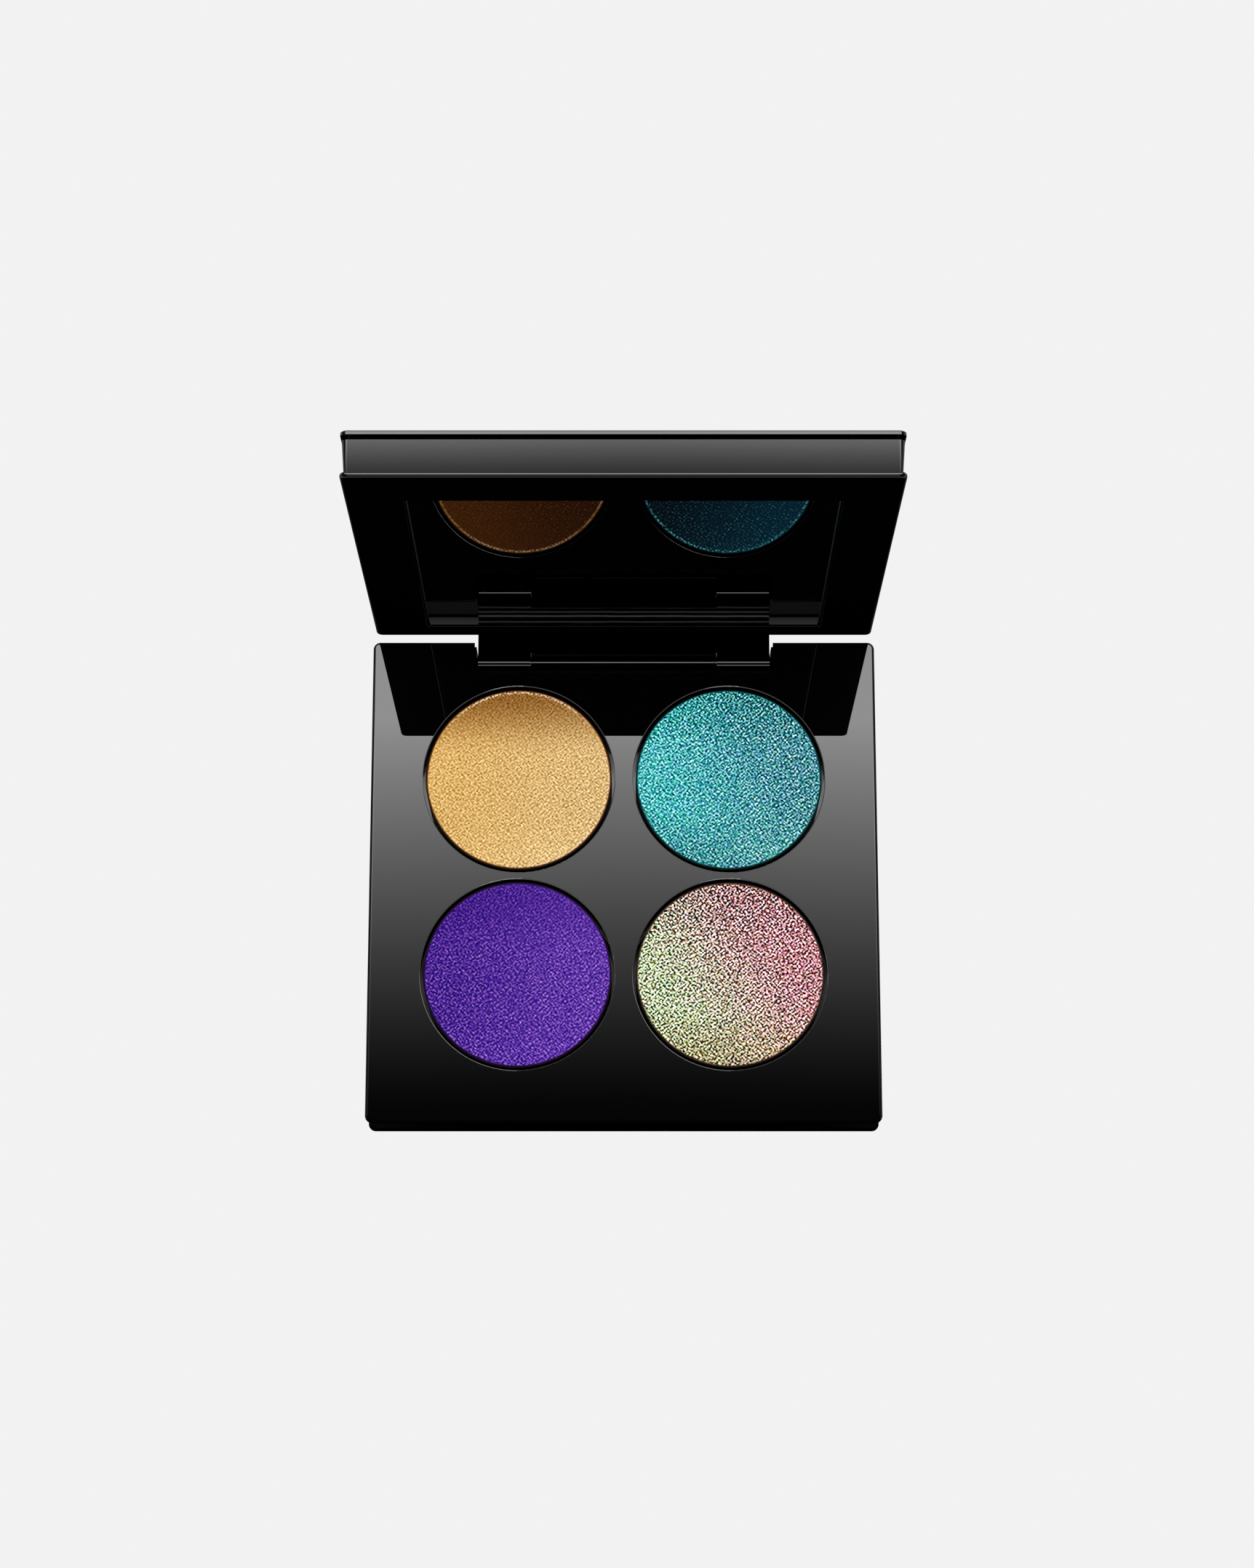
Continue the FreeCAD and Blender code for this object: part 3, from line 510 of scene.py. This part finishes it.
def pan_tone(tree, spot, shade):
    """The powder's tone across the pan, with painted shade of the lid that darkens it towards the rear."""
    tone = tree.blend(spot.to_right, shade.left, shade.right)
    # Painted shade of the lid, darkening each colour channel towards the rear.
    painted_lid_shade = tree.blend(tree.math("MULTIPLY", spot.to_rear, LID_SHADE_SHARE), WHITE, shade.rear)
    tone = tree.vector("MULTIPLY", tone, painted_lid_shade)
    front = tree.blend(spot.to_right, shade.front, shade.corner)
    return tree.blend(tree.math("MULTIPLY", spot.to_front, FRONT_SHARE), tone, front)


def maze(tree, place):
    """Noise with its slow swell taken away, which leaves a labyrinth of even spacing, about zero."""
    around = None
    for step in ((SPREAD, 0.0, 0.0), (-SPREAD, 0.0, 0.0), (0.0, SPREAD, 0.0), (0.0, -SPREAD, 0.0)):
        side = tree.noise(tree.vector("ADD", place, step), GRAIN, detail=0.0)
        around = side if around is None else tree.math("ADD", around, side)
    return tree.math("SUBTRACT", tree.noise(place, GRAIN, detail=0.0), tree.math("MULTIPLY", around, 0.25))


def sparkle(tree, spot, shade, radius, draw):
    """Swing between dark and light flakes, about zero."""
    swing = tree.math("MULTIPLY", maze(tree, spot.place), SWING)
    flicker = tree.math("SUBTRACT", draw, 0.5)
    swing = tree.math("MULTIPLY_ADD", flicker, FLICKER, swing)
    clumps = tree.math("SUBTRACT", tree.noise(spot.place, CLUMP), 0.5)
    swing = tree.math("MULTIPLY_ADD", clumps, CLUMPS, swing)
    to_rear = tree.ease(spot.along, 0.1 * radius, 0.8 * radius, 1.0, shade.fade)
    to_right = tree.ease(spot.to_right, 0.0, 1.0, 1.0, shade.swell)
    return tree.product(swing, to_rear, to_right)


def add_sparkle(tree, tone, swing, shade):
    """Lightens the tone where swing is above zero, and darkens it where swing is below."""
    lighter = tree.math("MAXIMUM", swing, 0.0)
    darker = tree.math("MAXIMUM", tree.math("MULTIPLY", swing, -1.0), 0.0)
    tone = tree.vector("ADD", tone, tree.vector("SCALE", shade.high, scale=lighter))
    return tree.vector("ADD", tone, tree.vector("SCALE", shade.low, scale=darker))


def shoulder_ring(tree, spot):
    """One along the cake's rounded shoulder, and zero elsewhere."""
    return tree.product(tree.ease(spot.from_edge, *RING_START),
                        tree.ease(spot.from_edge, *RING_END, 1.0, 0.0))


def painted_shoulder_highlight(tree, spot, shade, radius, swing):
    """Strength of the shoulder's painted highlight: most at the rear, and less at the front right."""
    rear = tree.ease(spot.along, 0.45 * radius, 0.95 * radius)
    slant = tree.math("SUBTRACT", spot.across, spot.along)
    front_right = tree.ease(slant, 0.3 * radius, 1.4 * radius, 0.0, 0.7)
    broken = tree.math("MULTIPLY_ADD", swing, 0.5, 0.6, clamp=True)
    return tree.product(tree.math("MAXIMUM", rear, front_right), shade.glint, broken)


def painted_mirror_look(tree, spot, shade, tone, swing, ring):
    """Painted shade of the powder where a mirror at the rear shows it, with a painted sheen."""
    painted_sheen = tree.math("MULTIPLY", ring, MIRROR_RING)
    painted_sheen = tree.math("MULTIPLY_ADD", swing, MIRROR_FLAKES, painted_sheen)
    painted_sheen = tree.math("MULTIPLY_ADD", spot.to_rear, MIRROR_REAR, painted_sheen)
    painted_mirror_shade = tree.blend(spot.to_right, shade.painted_mirror_shade, shade.painted_mirror_shade_right)
    return tree.blend(tree.math("MAXIMUM", painted_sheen, 0.0), painted_mirror_shade, tone)


def shimmer(name, shade, radius):
    """Pressed shimmer powder: a fine maze of light and dark flakes over a tone that changes, with painted
    shade, a painted highlight and a painted mirror look.
    """
    material, tree, surface = new_material(f"powder_{name}")
    spot = Spot(tree, shade, radius)
    flakes = tree.cells(spot.place, FLAKE)["Color"]
    scatter = tree.vector("SUBTRACT", flakes, MIDDLE_GREY)
    draw = tree.split(flakes)
    swing = sparkle(tree, spot, shade, radius, draw[0])
    ring = shoulder_ring(tree, spot)

    tone = pan_tone(tree, spot, shade)
    tone = tree.vector("ADD", tone, tree.vector("SCALE", scatter, scale=shade.hue))
    tone = add_sparkle(tree, tone, swing, shade)
    # Painted highlight on the shoulder.
    light = tree.math("MULTIPLY", ring, painted_shoulder_highlight(tree, spot, shade, radius, swing))
    tone = tree.blend(light, tone, shade.edge)
    tone = tree.blend(tree.ease(spot.from_edge, *FRINGE, 0.0, FRINGE_SHARE), tone, shade.rim)
    # Painted shade: a darker look where a mirror shows the powder from behind.
    painted_mirror_tone = painted_mirror_look(tree, spot, shade, tone, swing, ring)
    tone = tree.blend(tree.mirrored_from_behind(), tone, painted_mirror_tone)

    linear = tree.add("ShaderNodeGamma")
    tree.feed(linear.inputs["Color"], tone)
    tree.feed(linear.inputs["Gamma"], SCREEN_GAMMA)
    tree.feed(surface["Base Color"], tree.vector("SCALE", linear.outputs[0], scale=POWDER_GAIN))
    straight = tree.add("ShaderNodeNewGeometry").outputs["Normal"]
    leaning = tree.vector("ADD", straight, tree.vector("SCALE", scatter, scale=TILT))
    tree.feed(surface["Normal"], tree.vector("NORMALIZE", leaning))
    tree.feed(surface["Metallic"], 0.35)
    tree.feed(surface["Roughness"], tree.math("MULTIPLY_ADD", draw[1], 0.12, 0.50))
    tree.feed(surface["Specular IOR Level"], 0.05)
    return material


# Powder meshes

def grain_height(point, shade):
    """Height of the pressed surface's grain at one point, about zero."""
    fine = noise.noise(point / FLAKE)
    broad = noise.noise(point / (9 * FLAKE))
    return shade.relief * (fine + 0.8 * broad)


def cake_height(radius, reach, crown):
    """Height of the smooth cake above the pan's rim: a low dome with a rounded shoulder."""
    dome = crown * (1 - DOME_DROP * (radius / reach) ** 2)
    inset = max(0.0, radius - (reach - SHOULDER)) / SHOULDER
    return LIFT + dome * math.sqrt(max(0.0, 1 - inset * inset))


def circle(radius, height):
    """One ring of points about the cake's axis."""
    points = []
    for spoke in range(SPOKES):
        angle = math.tau * spoke / SPOKES
        points.append(Vector((radius * math.cos(angle), radius * math.sin(angle), height)))
    return points


def ring_faces(inside, outside):
    """Quads between two neighbouring rings, given by their first vertices."""
    faces = []
    for spoke in range(SPOKES):
        following = (spoke + 1) % SPOKES
        faces.append((inside + spoke, outside + spoke, outside + following, inside + following))
    return faces


def cake_mesh(name, shade, middle, reach, crown, inner, bottom):
    """A closed cake: the grained top, a turn inwards over the rim, the wall and a flat underside."""
    vertices = [Vector((0, 0, cake_height(0, reach, crown)))]
    for ring in range(1, RINGS + 1):
        radius = reach * (ring / RINGS)
        smooth = cake_height(radius, reach, crown)
        calm = min(1.0, (reach - radius) / SHOULDER)
        for point in circle(radius, 0.0):
            rise = grain_height(point + middle, shade) * calm
            point.z = max(LIFT, smooth + rise)
            vertices.append(point)
    faces = [(0, 1 + spoke, 1 + (spoke + 1) % SPOKES) for spoke in range(SPOKES)]
    for ring in range(1, RINGS):
        faces += ring_faces(1 + (ring - 1) * SPOKES, 1 + ring * SPOKES)
    last = 1 + (RINGS - 1) * SPOKES
    for level in (LIFT, bottom):
        first = len(vertices)
        vertices += circle(inner, level)
        faces += ring_faces(last, first)
        last = first
    faces.append(tuple(reversed(range(last, last + SPOKES))))
    mesh = bpy.data.meshes.new(f"pressed_{name}")
    mesh.from_pydata(vertices, [], faces)
    mesh.polygons.foreach_set("use_smooth", [True] * (len(mesh.polygons) - 1) + [False])
    mesh.update()
    return mesh


def press_powder(name, shade):
    """A closed, slightly domed cake with a soft shoulder that covers the pan's thin rim."""
    pan_low, pan_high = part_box(f"pan_{name}")
    powder_low, powder_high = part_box(f"powder_{name}")
    middle = (pan_low + pan_high) / 2
    rim = pan_high.z
    reach = (pan_high.x - pan_low.x) / 2 - BARE_RIM
    inner = (powder_high.x - powder_low.x) / 2
    mesh = cake_mesh(name, shade, middle, reach, powder_high.z - rim, inner, powder_low.z - rim)
    mesh.materials.append(shimmer(name, shade, reach))
    cake = bpy.data.objects.new(f"pressed_{name}", mesh)
    cake.location = (middle.x, middle.y, rim)
    scene.collection.objects.link(cake)
    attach(cake, "base")
    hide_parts(f"powder_{name}")
    return cake


# Stage

def lamp_level(tree, across, along, up):
    """Brightness of the soft light, by direction."""
    above = tree.math("MAXIMUM", up, 0.001)
    back = tree.math("DIVIDE", along, above)
    side = tree.math("ABSOLUTE", tree.math("DIVIDE", across, above))
    ramp = tree.math("SUBTRACT", back, LAMP_START)
    ramp = tree.math("DIVIDE", ramp, LAMP_FULL - LAMP_START, clamp=True)
    return tree.product(tree.math("POWER", ramp, LAMP_CURVE),
                        tree.ease(back, *LAMP_FADE, 1.0, 0.0),
                        tree.ease(side, *LAMP_SIDE, 1.0, 0.0),
                        tree.math("GREATER_THAN", up, 0.01),
                        tree.ease(side, 0.0, SIDE_SLOPE, 1.0, SIDE_GAIN))


def light_world():
    """A soft light high behind the lid, a faint horizon, and a plain backdrop for the camera."""
    world = bpy.data.worlds.new("studio")
    scene.world = world
    tree = Tree(world)
    across, along, up = tree.split(tree.add("ShaderNodeTexCoord").outputs["Generated"])
    glow = tree.math("MULTIPLY", tree.ease(up, 0.0, 0.6, 1.0, 0.0), HORIZON_GLOW)
    studio = tree.math("MULTIPLY_ADD", lamp_level(tree, across, along, up), LAMP_GAIN, glow)
    shader = tree.add("ShaderNodeBackground")
    tree.feed(shader.inputs["Color"], WHITE)
    tree.feed(shader.inputs["Strength"], tree.pale_to_camera(studio))
    tree.feed(tree.add("ShaderNodeOutputWorld").inputs["Surface"], shader.outputs[0])


def floor_level(tree):
    """Floor in reflections: painted shade close to the compact, with a trace of painted light at its rear
    and under it.
    """
    place = tree.place()
    across, along, _ = tree.split(place)
    far = tree.ease(tree.vector("LENGTH", place), *GLOW_RISE, 0.0, FLOOR_GLOW)
    rear = tree.ease(along, *REAR_RISE, 0.0, REAR_GLOW)
    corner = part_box("base_bottom")[1]
    under = tree.product(tree.within(across, corner.x - UNDER_INSET),
                         tree.within(along, corner.y - UNDER_INSET), UNDER_GLOW)
    return tree.math("MAXIMUM", tree.math("MAXIMUM", rear, far), under)


def pale_floor():
    """Plain pale for the camera, with painted light and shade in reflections, open from below."""
    material = bpy.data.materials.new("pale_floor")
    tree = Tree(material)
    shader = tree.add("ShaderNodeEmission")
    tree.feed(shader.inputs["Color"], WHITE)
    tree.feed(shader.inputs["Strength"], tree.pale_to_camera(floor_level(tree)))
    sides = tree.add("ShaderNodeMixShader")
    tree.feed(sides.inputs[0], tree.add("ShaderNodeNewGeometry").outputs["Backfacing"])
    tree.feed(sides.inputs[1], shader.outputs[0])
    tree.feed(sides.inputs[2], tree.add("ShaderNodeBsdfTransparent").outputs[0])
    tree.feed(tree.add("ShaderNodeOutputMaterial").inputs["Surface"], sides.outputs[0])
    return material


def lay_floor():
    """A large square under the compact."""
    mesh = bpy.data.meshes.new("floor")
    corners = [(x * FLOOR_SIZE, y * FLOOR_SIZE, 0) for x, y in ((-1, -1), (1, -1), (1, 1), (-1, 1))]
    mesh.from_pydata(corners, [], [(0, 1, 2, 3)])
    mesh.materials.append(pale_floor())
    floor = bpy.data.objects.new("floor", mesh)
    floor.location.z = -FLOOR_GAP
    scene.collection.objects.link(floor)


def hang_light(name, place, aim, width, depth, power, receivers):
    """A soft rectangle that lights only the named parts, as a flag or a lens snoot would."""
    data = bpy.data.lights.new(name, "AREA")
    data.shape = "RECTANGLE"
    data.size = width
    data.size_y = depth
    data.energy = power
    light = bpy.data.objects.new(name, data)
    light.location = place
    light.rotation_euler = (Vector(aim) - Vector(place)).to_track_quat("-Z", "Y").to_euler()
    light.visible_camera = False
    scene.collection.objects.link(light)
    lit = bpy.data.collections.new(f"{name}_receivers")
    for receiver in receivers:
        lit.objects.link(receiver)
    light.light_linking.receiver_collection = lit


def hang_lights(cakes):
    """Fills for the powders, and strips overhead that draw the lines along the hinge."""
    deck = [frame["nodes"]["base_deck"]]
    lid = [frame["nodes"]["lid_frame"]]
    hinge = lid + [frame["nodes"]["hinge_block"]]
    axis = (0.0, 0.03, 0.0)
    hang_light("powder_fill", (0.0, -0.55, 0.95), (0.0, 0.0, 0.0), 0.4, 0.4, 5.0, cakes + deck)
    hang_light("rear_fill", (0.0, 0.030, 0.040), (0.0, 0.030, 0.0), 0.09, 0.006, 0.016, cakes)
    hang_light("hinge_strip", (0.0, -0.005, 0.5), (0.0, -0.005, 0.0), 0.24, 0.07, 0.15, hinge)
    hang_light("knuckle_strip", (0.0, -0.25, STRIP_HEIGHT), axis, 0.3, 0.06, 0.15, lid)
    for along, power in WEB_LINES:
        hang_light("web_line", (0.0, along, STRIP_HEIGHT), axis, 0.4, 0.0004, power, lid)


def aim_camera():
    """A camera in front of the compact, high above it and tilted a little."""
    data = bpy.data.cameras.new("camera")
    data.lens = LENS
    data.clip_start = 0.01
    camera = bpy.data.objects.new("camera", data)
    camera.location = Vector((0, 0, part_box("base_deck")[1].z)) + CAMERA_PLACE
    camera.rotation_euler = (math.radians(CAMERA_TILT), 0, 0)
    scene.collection.objects.link(camera)
    scene.camera = camera


finish_nodes()
pressed = [press_powder(name, shade) for name, shade in SHADES.items()]
light_world()
lay_floor()
hang_lights(pressed)
aim_camera()
